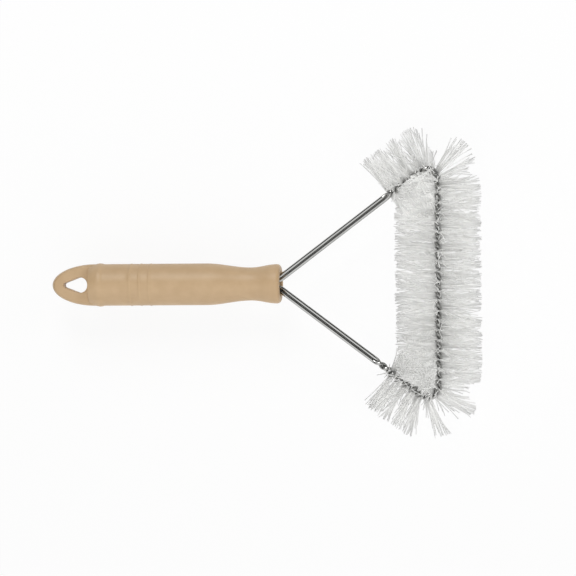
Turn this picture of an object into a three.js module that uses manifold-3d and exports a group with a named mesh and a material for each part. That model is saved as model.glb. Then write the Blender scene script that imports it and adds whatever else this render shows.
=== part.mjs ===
// Window screen brush: a twisted-in-wire brush bent into a triangle. Two core wires run side by side
// along both arms, twist round a strip of filaments along the head, and end in the socket of a
// moulded handle, where a slotted wedge holds them. Millimetres, +Z up. +X runs from the hanging
// tab to the head, the wire triangle lies in the XY plane, and the origin is the centre of the box.
import * as THREE from "three";
import { mergeVertices } from "three/addons/utils/BufferGeometryUtils.js";
import Module from "manifold-3d";

const wasm = await Module();
wasm.setup();

// Handle: the socket sets its thicknesses, and the hanging tab sets its lengths from the butt. Each
// round at the end takes no more than its share of the wall.
const HANDLE_LENGTH = 133;
const SOCKET_DIAMETER = 14.4;
const SOCKET_DRAFT_DEG = 0.5;
const SOCKET_END_WALL = 12;
const NECK_WALL = 2.3;
const GRIP_RISE = 2.5;
const END_RISE = 1.8;
const NECK_FROM_END = 17.2;
const NECK_LENGTH = 43.5;
const END_ROUND = 2.2;
const END_ROUND_SHARE = 0.6;
const MOUTH_ROUND = 1.2;
const MOUTH_ROUND_SHARE = 0.3;

// Hanging tab: a flat cut from the elliptical nose of the handle, with a teardrop hole.
const TAB_THICKNESS = 9;
const TAB_RIM = 7.15;
const HOLE_LENGTH = 13.6;
const HOLE_WIDTH = 8.8;
const HOLE_TIP_RADIUS = 1.5;
const HOLE_CORNER_RADIUS = 4.1;
const HOLE_CORNER_SHARE = 0.48;
const SHOULDER_GAP = 1.25;
const SHOULDER_CHAMFER_LENGTH = 3.2;
const SHOULDER_CHAMFER_DEPTH = 1;

// Raised bead and fine rings round the grip.
const BEAD_GAP = 0.3;
const BEAD_LENGTH = 5;
const BEAD_HEIGHT = 0.45;
const RING_COUNT = 3;
const RING_FROM_BEAD = 15;
const RING_SPACING = 5.7;
const RING_WIDTH = 1.6;
const RING_HEIGHT = 0.2;

// Wedge that holds the wire ends in the socket, with a web between its two slots.
const WEDGE_INSET = 12;
const WEDGE_LENGTH = 24;
const WEDGE_WEB = 0.8;
const WIRE_TAIL = 3;

// Wire triangle. The arms bend apart inside the socket's mouth. Against the even twist of the
// crossbar, the twist is looser round the upper corner and tighter from the lower corner on.
const WIRE_DIAMETER = 2.1;
const HEAD_REACH = 90.4;
const ARM_ANGLE_DEG = 37;
const ARM_BEND_RADIUS = 6;
const ARM_BEND_INSET = 2.7;
const CORNER_RADIUS = 6.5;
const TWIST_PITCH = 11.2;
const UPPER_BARE_TWIST = 4.6;
const LOWER_BARE_TWIST = 12.3;
const UPPER_CORNER_TWIST_RATIO = 0.79;
const UPPER_CORNER_EASE = 7;
const LOWER_ARM_TWIST_RATIO = 1.155;

// Filaments: a strip caught between the wires, with strands standing out of both of its edges.
const BRISTLE_RADIUS = 25.3;
const BRISTLED_ARM_LENGTH = 22;
const STRIP_THICKNESS = 0.4;
const STRANDS_PER_TURN = 12;
const STRAND_WIDTH = 0.6;
const STRAND_TIP_WIDTH = 0.5;
const STRAND_TIP_THICKNESS = 0.5;
const SHORTEST_STRAND = 0.5;

// Clearances.
const SOCKET_FIT = 0.3;
const WIRE_GAP = 0.2;
const STRIP_FIT = 0.12;
const STRIP_SPLIT = 0.4;
const STRAND_MEETING_GAP = 0.6;

// Facets.
const HANDLE_SIDES = 32;
const NOSE_STEPS = 9;
const NECK_STEPS = 7;
const ROUND_STEPS = 4;
const BEAD_STEPS = 6;
const RING_STEPS = 2;
const HOLE_ARC_STEPS = 10;
const WIRE_SIDES = 8;
const WIRE_STEPS_PER_HALF_TURN = 5;
const BEND_STEPS = 5;

const radians = THREE.MathUtils.degToRad;

// Handle stations, from the butt at x = 0.
const socketRadius = SOCKET_DIAMETER / 2;
const neckRadius = socketRadius + NECK_WALL;
const gripRadius = neckRadius + GRIP_RISE;
const endRadius = neckRadius + END_RISE;
const shoulderX = TAB_RIM + HOLE_LENGTH + SHOULDER_GAP;
const noseX = shoulderX + SHOULDER_CHAMFER_LENGTH;
const beadX = noseX + BEAD_GAP;
const ringX = beadX + BEAD_LENGTH + RING_FROM_BEAD;
const endX = HANDLE_LENGTH;
const socketBottomX = noseX + SOCKET_END_WALL;
const wedgeX = endX - WEDGE_INSET - WEDGE_LENGTH;
const wireEndX = wedgeX - WIRE_TAIL;

// Wire pair: half its spacing in the arms, where the wires lie together, and in the twist, where
// the filament strip keeps them apart.
const wireRadius = WIRE_DIAMETER / 2;
const armSpread = wireRadius + WIRE_GAP / 2;
const twistSpread = wireRadius + STRIP_THICKNESS / 2 + STRIP_FIT;
const stripHalfWidth = twistSpread + wireRadius;
const pairHalfWidth = armSpread + wireRadius;
const pairY = WEDGE_WEB / 2 + SOCKET_FIT + pairHalfWidth;

// Triangle.
const armAngle = radians(ARM_ANGLE_DEG);
const cornerTurn = Math.PI / 2 + armAngle;
const cornerTangent = CORNER_RADIUS * Math.tan(cornerTurn / 2);
const bendRun = ARM_BEND_RADIUS * Math.sin(armAngle);
const bendRise = ARM_BEND_RADIUS * (1 - Math.cos(armAngle));
const armReach = HEAD_REACH + ARM_BEND_INSET - bendRun;
const armLength = armReach / Math.cos(armAngle) - cornerTangent;
const cornerY = pairY + bendRise + armReach * Math.tan(armAngle);
const barLength = 2 * (cornerY - cornerTangent);
const barX = endX + HEAD_REACH;
const totalLength = barX + BRISTLE_RADIUS;

function socketRadiusAt(x) {
  return socketRadius - (endX - x) * Math.tan(radians(SOCKET_DRAFT_DEG));
}

// A closed geometry as a solid that can be joined and cut.
function solidOf(geometry) {
  const bare = geometry.clone();
  bare.deleteAttribute("normal");
  bare.deleteAttribute("uv");
  const merged = mergeVertices(bare, 1e-5);
  const index = merged.index.array;
  const kept = [];
  for (let i = 0; i < index.length; i += 3) {
    const [a, b, c] = index.slice(i, i + 3);
    if (a !== b && b !== c && c !== a) kept.push(a, b, c);
  }
  const mesh = { numProp: 3, vertProperties: merged.attributes.position.array };
  return new wasm.Manifold(new wasm.Mesh({ ...mesh, triVerts: new Uint32Array(kept) }));
}

function geometryOf(solid) {
  const { vertProperties, triVerts } = solid.getMesh();
  return new THREE.BufferGeometry()
    .setAttribute("position", new THREE.BufferAttribute(vertProperties, 3))
    .setIndex(new THREE.BufferAttribute(triVerts, 1));
}

// Turns a profile of [x, radius] stations about the X axis.
function revolve(profile) {
  const points = profile.map(([x, radius]) => new THREE.Vector2(radius, x));
  return new THREE.LatheGeometry(points, HANDLE_SIDES).rotateZ(-Math.PI / 2);
}

// Whole numbers 0 to steps as shares from 0 to 1.
function shares(steps) {
  return Array.from({ length: steps + 1 }, (_, i) => i / steps);
}

// Smooth S-curve from one radius to another along a stretch of the handle.
function swell(x0, r0, x1, r1, steps) {
  return shares(steps).map((u) => [
    x0 + u * (x1 - x0),
    r0 + ((r1 - r0) * (1 - Math.cos(Math.PI * u))) / 2,
  ]);
}

// A low ridge round the grip.
function ridge(x0, length, height, steps) {
  return shares(steps).map((u) => [x0 + u * length, gripRadius + height * Math.sin(Math.PI * u)]);
}

function gripSolid() {
  const wall = endRadius - socketRadius;
  const round = Math.min(END_ROUND, END_ROUND_SHARE * wall);
  const neckX = endX - NECK_FROM_END;
  const rings = Array.from({ length: RING_COUNT }, (_, i) =>
    ridge(ringX + i * RING_SPACING, RING_WIDTH, RING_HEIGHT, RING_STEPS),
  );
  const endArc = shares(ROUND_STEPS).map((u) => [
    endX - round * (1 - Math.sin((Math.PI / 2) * u)),
    endRadius - round * (1 - Math.cos((Math.PI / 2) * u)),
  ]);
  return solidOf(
    revolve([
      [shoulderX, 0],
      [shoulderX, gripRadius - SHOULDER_CHAMFER_DEPTH],
      [noseX, gripRadius],
      ...ridge(beadX, BEAD_LENGTH, BEAD_HEIGHT, BEAD_STEPS),
      ...rings.flat(),
      ...swell(endX - NECK_LENGTH, gripRadius, neckX, neckRadius, NECK_STEPS),
      ...swell(neckX, neckRadius, endX - round, endRadius, NECK_STEPS).slice(1),
      ...endArc.slice(1),
      [endX, 0],
    ]),
  );
}

// The nose is a quarter ellipse turned about the axis, with two flats left by the tab's thickness.
function tabSolid() {
  const nose = shares(NOSE_STEPS).map((u) => [
    noseX * (1 - Math.cos((Math.PI / 2) * u)),
    gripRadius * Math.sin((Math.PI / 2) * u),
  ]);
  const slab = new THREE.BoxGeometry(2 * noseX, 3 * gripRadius, TAB_THICKNESS);
  return solidOf(revolve([...nose, [noseX, 0]])).intersect(solidOf(slab.translate(noseX, 0, 0)));
}

// Teardrop outline: a small round tip towards the butt and two rounder corners at the shoulder.
function holeOutline() {
  const corner = Math.min(HOLE_CORNER_RADIUS, HOLE_CORNER_SHARE * HOLE_WIDTH);
  const tip = Math.min(HOLE_TIP_RADIUS, corner);
  const tipX = TAB_RIM + tip;
  const cornerX = TAB_RIM + HOLE_LENGTH - corner;
  const offsetY = HOLE_WIDTH / 2 - corner;
  const spanX = cornerX - tipX;
  const lean = Math.atan2(offsetY, spanX) + Math.asin((corner - tip) / Math.hypot(spanX, offsetY));
  const side = Math.PI / 2 + lean;
  return new THREE.Shape()
    .absarc(cornerX, -offsetY, corner, -side, 0, false)
    .absarc(cornerX, offsetY, corner, 0, side, false)
    .absarc(tipX, 0, tip, side, 2 * Math.PI - side, false);
}

function holeSolid() {
  const depth = 2 * TAB_THICKNESS;
  const cutter = new THREE.ExtrudeGeometry(holeOutline(), {
    depth,
    bevelEnabled: false,
    curveSegments: HOLE_ARC_STEPS,
  });
  return solidOf(cutter.translate(0, 0, -depth / 2));
}

// Drafted socket with a rounded mouth.
function socketSolid() {
  const round = Math.min(MOUTH_ROUND, MOUTH_ROUND_SHARE * (endRadius - socketRadius));
  const mouth = shares(ROUND_STEPS).map((u) => [
    endX - round * (1 - Math.sin((Math.PI / 2) * u)),
    socketRadiusAt(endX - round) + round * (1 - Math.cos((Math.PI / 2) * u)),
  ]);
  const beyond = mouth.at(-1)[1];
  return solidOf(
    revolve([
      [socketBottomX, 0],
      [socketBottomX, socketRadiusAt(socketBottomX)],
      ...mouth,
      [endX + round, beyond],
      [endX + round, 0],
    ]),
  );
}

function handleGeometry() {
  const outside = gripSolid().add(tabSolid());
  return geometryOf(outside.subtract(socketSolid()).subtract(holeSolid()));
}

// Drafted plug with a slot on each side of its web for a pair of wires.
function wedgeGeometry() {
  const wedgeEndX = wedgeX + WEDGE_LENGTH;
  const plug = solidOf(
    revolve([
      [wedgeX, 0],
      [wedgeX, socketRadiusAt(wedgeX) - SOCKET_FIT],
      [wedgeEndX, socketRadiusAt(wedgeEndX) - SOCKET_FIT],
      [wedgeEndX, 0],
    ]),
  );
  const slot = new THREE.BoxGeometry(
    2 * WEDGE_LENGTH,
    2 * (pairHalfWidth + SOCKET_FIT),
    WIRE_DIAMETER + 2 * SOCKET_FIT,
  ).translate(wedgeX + WEDGE_LENGTH / 2, pairY, 0);
  const upper = solidOf(slot);
  const lower = solidOf(slot.clone().rotateX(Math.PI));
  return geometryOf(plug.subtract(upper).subtract(lower));
}

// A chain of straight runs and arcs in the XY plane, walked by its length.
class PlanePath {
  constructor(x, y) {
    this.runs = [];
    this.length = 0;
    this.end = { x, y, heading: 0 };
  }

  // Adds a run of a length that turns left by an angle, or right if the angle is negative.
  add(length, turn = 0) {
    this.runs.push({ from: this.length, length, turn, ...this.end });
    this.length += length;
    this.end = this.locate(this.length);
    return this;
  }

  locate(s) {
    const run = this.runs.findLast((r) => r.from <= s) ?? this.runs[0];
    const gone = s - run.from;
    const turned = (run.turn * gone) / run.length;
    const chord = turned ? (gone * Math.sin(turned / 2)) / (turned / 2) : gone;
    const aim = run.heading + turned / 2;
    return {
      x: run.x + chord * Math.cos(aim),
      y: run.y + chord * Math.sin(aim),
      heading: run.heading + turned,
    };
  }

  // The point at a length, with the directions along the path, to its left and up.
  frame(s) {
    const { x, y, heading } = this.locate(s);
    return {
      point: new THREE.Vector3(x, y, 0),
      along: new THREE.Vector3(Math.cos(heading), Math.sin(heading), 0),
      left: new THREE.Vector3(-Math.sin(heading), Math.cos(heading), 0),
      up: new THREE.Vector3(0, 0, 1),
    };
  }
}

// Centre line of the wire pair: socket, arm, corner, crossbar, corner, arm, socket.
const socketRun = endX - ARM_BEND_INSET - wireEndX;
const bendLength = ARM_BEND_RADIUS * armAngle;
const cornerLength = CORNER_RADIUS * cornerTurn;
const pairLine = new PlanePath(wireEndX, pairY)
  .add(socketRun)
  .add(bendLength, armAngle)
  .add(armLength)
  .add(cornerLength, -cornerTurn)
  .add(barLength)
  .add(cornerLength, -cornerTurn)
  .add(armLength)
  .add(bendLength, armAngle)
  .add(socketRun);

// Twist: half turns between the two arms, with the rate of twist rising and falling evenly over a
// short onset at each end. The twist starts a little before the filaments on each arm.
const armEnd = socketRun + bendLength + armLength;
const cornerMiddle = armEnd + cornerLength / 2;
const bristleStart = armEnd - BRISTLED_ARM_LENGTH;
const bristleEnd = pairLine.length - bristleStart;
const twistStart = bristleStart - UPPER_BARE_TWIST;
const twistEnd = bristleEnd + LOWER_BARE_TWIST;

// Stations between which the twist has one rate, and the same stations in lengths of even twist.
const rateStations = [
  0,
  armEnd - UPPER_CORNER_EASE,
  armEnd + cornerLength + UPPER_CORNER_EASE,
  pairLine.length - cornerMiddle,
  pairLine.length,
];
const evenStations = [1, UPPER_CORNER_TWIST_RATIO, 1, LOWER_ARM_TWIST_RATIO].reduce(
  (sums, rate, k) => [...sums, sums.at(-1) + rate * (rateStations[k + 1] - rateStations[k])],
  [0],
);

// A value carried from one row of rising stations to another, evenly between two stations.
function carried(value, from, to) {
  const found = from.findIndex((station) => station > value);
  const above = found < 0 ? from.length - 1 : Math.max(found, 1);
  const share = (value - from[above - 1]) / (from[above] - from[above - 1]);
  return to[above - 1] + share * (to[above] - to[above - 1]);
}

const evenStart = carried(twistStart, rateStations, evenStations);
const evenEnd = carried(twistEnd, rateStations, evenStations);
const onset = TWIST_PITCH / 2;
const fullTwistLength = evenEnd - evenStart - onset;
const halfTurns = Math.round((2 * fullTwistLength) / TWIST_PITCH);
const totalRoll = Math.PI * halfTurns;
const twistRate = totalRoll / fullTwistLength;
const onsetRoll = (twistRate * onset) / 2;

// Roll gained, in radians, at an even length from either end of the twist, and the length for a roll.
function rollGained(gone) {
  if (gone <= 0) return 0;
  return gone < onset ? (twistRate * gone * gone) / (2 * onset) : twistRate * (gone - onset / 2);
}

function lengthGained(roll) {
  return roll < onsetRoll ? Math.sqrt((2 * onset * roll) / twistRate) : roll / twistRate + onset / 2;
}

// Roll of the pair about its centre line at a length, and the length at which it has a roll.
function rollAt(s) {
  const even = carried(s, rateStations, evenStations);
  if (even < (evenStart + evenEnd) / 2) return rollGained(even - evenStart);
  return totalRoll - rollGained(evenEnd - even);
}

function lengthAtRoll(roll) {
  const early = roll < totalRoll / 2;
  const even = early ? evenStart + lengthGained(roll) : evenEnd - lengthGained(totalRoll - roll);
  return carried(even, evenStations, rateStations);
}

// The wires open from lying together to the strip's thickness before the first filaments.
function spreadAt(s) {
  const { lerp, smoothstep } = THREE.MathUtils;
  const opened = smoothstep(s, twistStart, bristleStart) * (1 - smoothstep(s, bristleEnd, twistEnd));
  return lerp(armSpread, twistSpread, opened);
}

// The pair's frame at a length: the wires lie along across, and the filaments stand along out.
// The roll is taken clockwise along the line, so that the twist is left-handed.
function twistFrame(s) {
  const { point, along, left, up } = pairLine.frame(s);
  const roll = rollAt(s);
  const across = left.clone().multiplyScalar(Math.cos(roll)).addScaledVector(up, -Math.sin(roll));
  const out = left.clone().multiplyScalar(Math.sin(roll)).addScaledVector(up, Math.cos(roll));
  return { point, along, across, out };
}

// A closed skin over rings of equal size, given as arrays of points, with flat ends.
function skinGeometry(rings) {
  const size = rings[0].length;
  const last = (rings.length - 1) * size;
  const triangles = [];
  rings.slice(1).forEach((_, ring) => {
    for (let k = 0; k < size; k++) {
      const next = (k + 1) % size;
      const [a, b] = [ring * size + k, ring * size + next];
      triangles.push(a, b, b + size, a, b + size, a + size);
    }
  });
  for (let k = 1; k < size - 1; k++) {
    triangles.push(0, k + 1, k, last, last + k, last + k + 1);
  }
  return new THREE.BufferGeometry().setFromPoints(rings.flat()).setIndex(triangles);
}

// Lengths at which a core wire gets a ring: the ends of straight runs, steps round the arm bends,
// and even steps of roll along the twist.
function wireStations() {
  const bend = shares(BEND_STEPS).map((u) => socketRun + u * bendLength);
  const farBend = bend.map((s) => pairLine.length - s).reverse();
  const rolls = shares(halfTurns * WIRE_STEPS_PER_HALF_TURN).map((u) => u * totalRoll);
  return [0, ...bend, ...rolls.map(lengthAtRoll), ...farBend, pairLine.length];
}

// One core wire, on the left (+1) or right (-1) of the pair's line where the line starts.
function coreWireGeometry(side) {
  const centreAt = (s) => {
    const { point, across } = twistFrame(s);
    return point.addScaledVector(across, side * spreadAt(s));
  };
  const probe = 0.01;
  const rings = wireStations().map((s) => {
    const centre = centreAt(s);
    const tangent = centreAt(s + probe).sub(centreAt(s - probe)).normalize();
    const inward = twistFrame(s).across.multiplyScalar(-side);
    const sideways = new THREE.Vector3().crossVectors(tangent, inward).normalize();
    const flat = new THREE.Vector3().crossVectors(sideways, tangent);
    return Array.from({ length: WIRE_SIDES }, (_, k) => {
      const angle = (2 * Math.PI * (k + 0.5)) / WIRE_SIDES;
      return centre
        .clone()
        .addScaledVector(flat, wireRadius * Math.cos(angle))
        .addScaledVector(sideways, wireRadius * Math.sin(angle));
    });
  });
  return skinGeometry(rings);
}

// Mirror planes of the two corners, each by its corner point and its normal. Strands inside a
// corner stop short of the plane, where the two sides meet.
const planeAngle = armAngle - cornerTurn / 2;
const cornerPlanes = [1, -1].map((side) => ({
  point: new THREE.Vector3(barX, side * cornerY, 0),
  normal: new THREE.Vector3(Math.cos(planeAngle), side * Math.sin(planeAngle), 0),
}));

// Length of a strand from the pair's line, shortened where it would pass a corner's plane.
function strandLength(root, direction) {
  return cornerPlanes.reduce((length, { point, normal }) => {
    const away = root.clone().sub(point).dot(normal);
    const closing = -direction.dot(normal) * Math.sign(away);
    const room = Math.abs(away) - STRAND_MEETING_GAP;
    return closing * length > room ? Math.max(room / closing, stripHalfWidth + SHORTEST_STRAND) : length;
  }, BRISTLE_RADIUS);
}

// Strip of filaments between two rolls, with a strand out of each edge at every step of roll that
// lies between them. A station of the strip has four points: both faces at both edges.
function bristleGeometry(fromRoll, toRoll) {
  const step = (2 * Math.PI) / STRANDS_PER_TURN;
  const halfRoll = (twistRate * STRAND_WIDTH) / 2;
  const first = Math.ceil((fromRoll + halfRoll) / step);
  const last = Math.floor((toRoll - halfRoll) / step);
  const points = [];
  const triangles = [];
  const quad = (a, b, c, d) => triangles.push(a, b, c, a, c, d);
  const addStation = (roll) => {
    const { point, across, out } = twistFrame(lengthAtRoll(roll));
    const corners = [
      [1, 1],
      [-1, 1],
      [-1, -1],
      [1, -1],
    ];
    for (const [edge, face] of corners) {
      points.push(
        point
          .clone()
          .addScaledVector(out, edge * stripHalfWidth)
          .addScaledVector(across, (face * STRIP_THICKNESS) / 2),
      );
    }
    return points.length - corners.length;
  };
  const addStrand = (roll, side, base) => {
    const { point, along, across, out } = twistFrame(lengthAtRoll(roll));
    const direction = out.multiplyScalar(side);
    const tip = point.clone().addScaledVector(direction, strandLength(point, direction));
    const start = points.length;
    const corners = [
      [-1, -side],
      [-1, side],
      [1, side],
      [1, -side],
    ];
    for (const [end, face] of corners) {
      points.push(
        tip
          .clone()
          .addScaledVector(along, (end * STRAND_TIP_WIDTH) / 2)
          .addScaledVector(across, (face * STRAND_TIP_THICKNESS) / 2),
      );
    }
    base.forEach((corner, k) => {
      const next = (k + 1) % base.length;
      quad(corner, start + k, start + next, base[next]);
    });
    quad(start + 3, start + 2, start + 1, start);
  };
  let before = null;
  for (let k = first; k <= last; k++) {
    const roll = k * step;
    const near = addStation(roll - halfRoll);
    const far = addStation(roll + halfRoll);
    if (before === null) {
      quad(near, near + 1, near + 2, near + 3);
    } else {
      for (let edge = 0; edge < 4; edge++) {
        const next = (edge + 1) % 4;
        quad(before + edge, near + edge, near + next, before + next);
      }
    }
    quad(near, far, far + 1, near + 1);
    quad(near + 2, far + 2, far + 3, near + 3);
    addStrand(roll, 1, [near + 3, near, far, far + 3]);
    addStrand(roll, -1, [near + 1, near + 2, far + 2, far + 1]);
    before = far;
  }
  quad(before + 3, before + 2, before + 1, before);
  return new THREE.BufferGeometry().setFromPoints(points).setIndex(triangles);
}

const beigePlastic = new THREE.MeshStandardMaterial({ color: 0xc6aa86, roughness: 0.5, metalness: 0 });
const brightSteel = new THREE.MeshStandardMaterial({ color: 0xc9c9c6, roughness: 0.22, metalness: 1 });
const whiteNylon = new THREE.MeshStandardMaterial({ color: 0xe9e9e5, roughness: 0.45, metalness: 0 });

function piece(name, geometry, material) {
  geometry.computeVertexNormals();
  const mesh = new THREE.Mesh(geometry, material);
  mesh.name = name;
  return mesh;
}

// Rolls where each stretch of filaments starts and ends, parted at the middle of the corners.
const upperCorner = rollAt(cornerMiddle);
const lowerCorner = rollAt(pairLine.length - cornerMiddle);
const splitRoll = (twistRate * STRIP_SPLIT) / 2;

const head = new THREE.Group();
head.add(
  piece("outer_core_wire", coreWireGeometry(1), brightSteel),
  piece("inner_core_wire", coreWireGeometry(-1), brightSteel),
  piece(
    "upper_arm_bristles",
    bristleGeometry(rollAt(bristleStart), upperCorner - splitRoll),
    whiteNylon,
  ),
  piece(
    "crossbar_bristles",
    bristleGeometry(upperCorner + splitRoll, lowerCorner - splitRoll),
    whiteNylon,
  ),
  piece(
    "lower_arm_bristles",
    bristleGeometry(lowerCorner + splitRoll, rollAt(bristleEnd)),
    whiteNylon,
  ),
);

const brush = new THREE.Group();
brush.add(piece("handle", handleGeometry(), beigePlastic));
brush.add(piece("wire_wedge", wedgeGeometry(), beigePlastic));
brush.add(head);
brush.position.x = -totalLength / 2;

export default brush;
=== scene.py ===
"""Window screen brush: its looks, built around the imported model.

A twisted-in-wire brush is bent into a triangle on a moulded handle. The handle, the two core wires and
the nylon filaments are surfaces worked out in millimetres as whole numpy arrays, and they take the place
of the plain solids of the same name. The wedge in the socket keeps its solid and gets a finish.
"""

import logging
import math
from dataclasses import dataclass, field
from enum import Enum

import bpy
import numpy as np
from bpy.types import Material, Node, NodeSocket, NodeTree, Object
from mathutils import Matrix, Vector
from numpy.typing import NDArray


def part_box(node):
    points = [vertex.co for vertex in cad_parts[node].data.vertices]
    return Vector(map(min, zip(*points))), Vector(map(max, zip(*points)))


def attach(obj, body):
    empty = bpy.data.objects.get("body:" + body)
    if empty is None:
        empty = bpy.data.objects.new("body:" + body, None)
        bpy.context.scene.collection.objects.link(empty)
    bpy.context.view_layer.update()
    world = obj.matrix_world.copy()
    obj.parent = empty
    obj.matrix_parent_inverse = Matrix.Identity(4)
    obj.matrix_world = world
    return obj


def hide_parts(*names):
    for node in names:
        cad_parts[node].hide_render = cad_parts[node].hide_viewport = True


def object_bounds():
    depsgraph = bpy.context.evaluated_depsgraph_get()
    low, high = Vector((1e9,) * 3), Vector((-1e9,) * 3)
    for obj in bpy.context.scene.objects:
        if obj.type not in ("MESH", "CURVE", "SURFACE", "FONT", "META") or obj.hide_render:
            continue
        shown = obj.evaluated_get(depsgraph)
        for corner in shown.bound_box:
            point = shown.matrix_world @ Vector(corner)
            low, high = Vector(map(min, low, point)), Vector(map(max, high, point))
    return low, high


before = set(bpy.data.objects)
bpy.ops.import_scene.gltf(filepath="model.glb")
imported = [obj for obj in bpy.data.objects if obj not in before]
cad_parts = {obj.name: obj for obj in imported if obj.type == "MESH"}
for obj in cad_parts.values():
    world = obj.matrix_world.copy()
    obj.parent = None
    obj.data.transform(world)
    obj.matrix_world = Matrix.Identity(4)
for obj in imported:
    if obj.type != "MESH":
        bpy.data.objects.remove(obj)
CAD_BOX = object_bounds()

Array = NDArray[np.float64]
Index = NDArray[np.int64]
Colour = tuple[float, float, float]
Place = tuple[float, float, float]
Span = tuple[float, float]
Source = NodeSocket | float | Colour

MM = 0.001
BODY = "root"
FLOOR_GAP = 0.0004
LOG = logging.getLogger("window_screen_brush")


class Slot(Enum):
    """Material slots of the record, one for each kind of new piece."""

    HANDLE = "handle_plastic"
    WIRE = "core_wire_steel"
    FILAMENT = "bristle_nylon"


class Stretch(Enum):
    """Stretches of the filament strip, each by the node that it stands for."""

    UPPER_ARM = "upper_arm_bristles"
    CROSSBAR = "crossbar_bristles"
    LOWER_ARM = "lower_arm_bristles"


class Side(Enum):
    """Side of the pair's line on which a core wire starts."""

    OUTER = 1
    INNER = -1


def box_mm(node: str) -> tuple[Array, Array]:
    """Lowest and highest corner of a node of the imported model, in millimetres."""
    low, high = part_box(node)
    return np.array(low) / MM, np.array(high) / MM


def unit(vectors: Array) -> Array:
    """Vectors of length one along the last axis."""
    return vectors / np.linalg.norm(vectors, axis=-1, keepdims=True)


def smoothstep(x: Array, start: float, end: float) -> Array:
    """S-curve 3u^2 - 2u^3 that rises from 0 at start to 1 at end."""
    u = np.clip((x - start) / (end - start), 0.0, 1.0)
    return u * u * (3.0 - 2.0 * u)


def wrapped_grid(rows: int, columns: int) -> Index:
    """Four-sided faces of a grid of points that closes on itself along its columns.

    Args:
        rows: Number of rows of points.
        columns: Number of points in a row.

    Returns:
        One row of four point numbers for each face.
    """
    row, column = np.meshgrid(np.arange(rows - 1), np.arange(columns), indexing="ij")
    here = row * columns + column
    beside = row * columns + (column + 1) % columns
    return np.stack([here, beside, beside + columns, here + columns], axis=-1).reshape(-1, 4)


def fan(ring: Index, centre: int) -> Index:
    """Triangles from a closed ring of points, in order, to one more point that they meet in."""
    return np.stack([ring, np.full_like(ring, centre), np.roll(ring, -1)], axis=-1)


def capped(grid: Array, ends: Array) -> tuple[Array, list[Index]]:
    """Closes a skin of rings by a fan of triangles to a point at each end.

    Args:
        grid: Points of the skin, by ring and by place round it.
        ends: The two end points.

    Returns:
        All the points, and the faces of the skin, of its first end and of its last.
    """
    rows, columns, _ = grid.shape
    count = rows * columns
    ring = np.arange(columns)
    near = fan(ring, count)[:, ::-1]
    far = fan(ring + count - columns, count + 1)
    return np.concatenate([grid.reshape(-1, 3), ends]), [wrapped_grid(rows, columns), near, far]


def enclosed(points: Array, faces: list[Index]) -> float:
    """Volume inside closed faces, as the sum of the signed cones from the origin to fans of triangles.

    Args:
        points: Points of the surface.
        faces: Arrays of point numbers, each with faces of one size.

    Returns:
        The volume, under 0 where the faces are inside out.
    """
    total = 0.0
    for polygon in faces:
        first = points[polygon[:, 0]]
        for k in range(1, polygon.shape[1] - 1):
            cross = np.cross(points[polygon[:, k]], points[polygon[:, k + 1]])
            total += float(np.einsum("ij,ij->", first, cross)) / 6.0
    return total


def make_piece(name: str, points: Array, faces: list[Index], sharp_over: float = math.pi) -> Object:
    """Puts a closed surface into a new smooth-shaded object at the origin, facing outwards.

    Args:
        name: Name of the piece.
        points: Points in millimetres.
        faces: Arrays of point numbers, each with faces of one size.
        sharp_over: Angle between faces, in radians, over which an edge stays sharp.

    Returns:
        The new object.
    """
    if enclosed(points, faces) < 0.0:
        faces = [polygon[:, ::-1] for polygon in faces]
    sizes = np.concatenate([np.full(len(polygon), polygon.shape[1]) for polygon in faces])
    corners = np.concatenate([polygon.ravel() for polygon in faces]).astype(np.int32)
    starts = np.concatenate([[0], np.cumsum(sizes)[:-1]]).astype(np.int32)
    mesh = bpy.data.meshes.new(name)
    mesh.vertices.add(len(points))
    mesh.vertices.foreach_set("co", (points * MM).astype(np.float32).ravel())
    mesh.loops.add(len(corners))
    mesh.loops.foreach_set("vertex_index", corners)
    mesh.polygons.add(len(sizes))
    mesh.polygons.foreach_set("loop_start", starts)
    mesh.polygons.foreach_set("use_smooth", np.ones(len(sizes), dtype=bool))
    mesh.update(calc_edges=True)
    if sharp_over < math.pi:
        mesh.set_sharp_from_angle(angle=sharp_over)
    piece = bpy.data.objects.new(name, mesh)
    bpy.context.scene.collection.objects.link(piece)
    return piece


def tag_points(piece: Object, name: str, values: Array) -> None:
    """Stores a vector for each point of a piece as an attribute of that name, for its finish to read."""
    attribute = piece.data.attributes.new(name, "FLOAT_VECTOR", "POINT")
    attribute.data.foreach_set("vector", values.astype(np.float32).ravel())


def dress(piece: Object, finish: Material) -> None:
    """Gives a piece one finish all over."""
    piece.data.materials.clear()
    piece.data.materials.append(finish)


def seat(piece: Object, slot: Slot, finish: Material, *nodes: str) -> None:
    """Gives a piece its finish and its place in the model.

    Args:
        piece: New piece.
        slot: Slot of the record for the piece; not used.
        finish: Material of the piece.
        nodes: Nodes that the piece stands for.
    """
    dress(piece, finish)
    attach(piece, BODY)
    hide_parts(*nodes)
    LOG.info("%s stands for %s: %d faces", piece.name, ", ".join(nodes), len(piece.data.polygons))


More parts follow.
